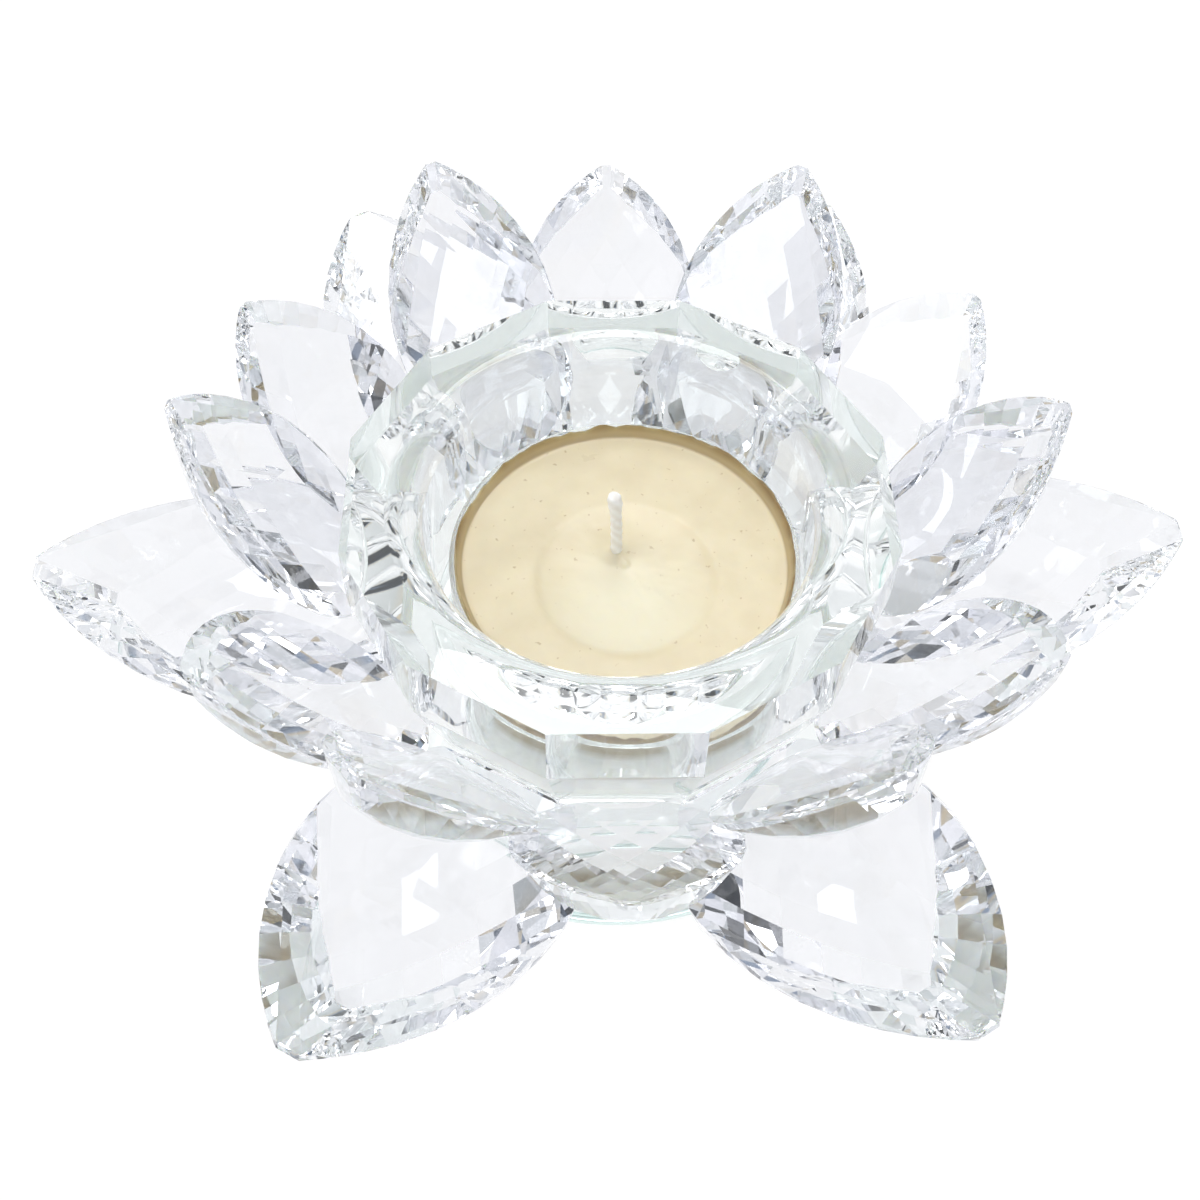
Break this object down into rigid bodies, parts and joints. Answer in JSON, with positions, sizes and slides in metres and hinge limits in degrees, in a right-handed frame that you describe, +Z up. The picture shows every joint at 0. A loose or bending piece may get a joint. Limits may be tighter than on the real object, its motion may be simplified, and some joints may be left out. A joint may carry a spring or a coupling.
{
  "type": "tealight holder",
  "caption": "Clear crystal lotus tealight holder: faceted cup on a hub and round foot, three rings of faceted petals, and a loose tealight that lifts out of the cup.",
  "frame": {"origin": "centre of the foot disc's flat underside, on the table", "axes": "+Z up along the cup's axis; +X to the right, through the tips of one upper and one lower petal; -Y towards the viewer, through a middle petal"},
  "size_m": [0.1246, 0.1112, 0.05],
  "materials": {
    "cup_glass": "polished clear crystal glass, flat cut facets",
    "foot_glass": "polished clear glass with a faint green edge tint",
    "petal_glass": "polished clear crystal glass, cut diamond facets underneath",
    "clear_plastic": "clear moulded polycarbonate, glossy",
    "candle_wax": "cream paraffin wax, soft satin",
    "tin": "thin bright tinned sheet",
    "cotton": "waxed white cotton braid"
  },
  "bodies": {
    "holder": {"cup": "cup_glass", "hub": "cup_glass", "foot": "foot_glass", "upper_petal_1": "petal_glass", "upper_petal_2": "petal_glass", "upper_petal_3": "petal_glass", "upper_petal_4": "petal_glass", "upper_petal_5": "petal_glass", "upper_petal_6": "petal_glass", "middle_petal_1": "petal_glass", "middle_petal_2": "petal_glass", "middle_petal_3": "petal_glass", "middle_petal_4": "petal_glass", "middle_petal_5": "petal_glass", "middle_petal_6": "petal_glass", "lower_petal_1": "petal_glass", "lower_petal_2": "petal_glass", "lower_petal_3": "petal_glass", "lower_petal_4": "petal_glass", "lower_petal_5": "petal_glass", "lower_petal_6": "petal_glass"},
    "tealight": {"tealight_cup": "clear_plastic", "wax": "candle_wax", "wick_sustainer": "tin", "wick": "cotton"}
  },
  "joints": [
    {"name": "tealight_lift", "type": "slide", "parent": "holder", "child": "tealight", "axis": [0, 0, 1], "range_m": [0, 0.045]}
  ]
}
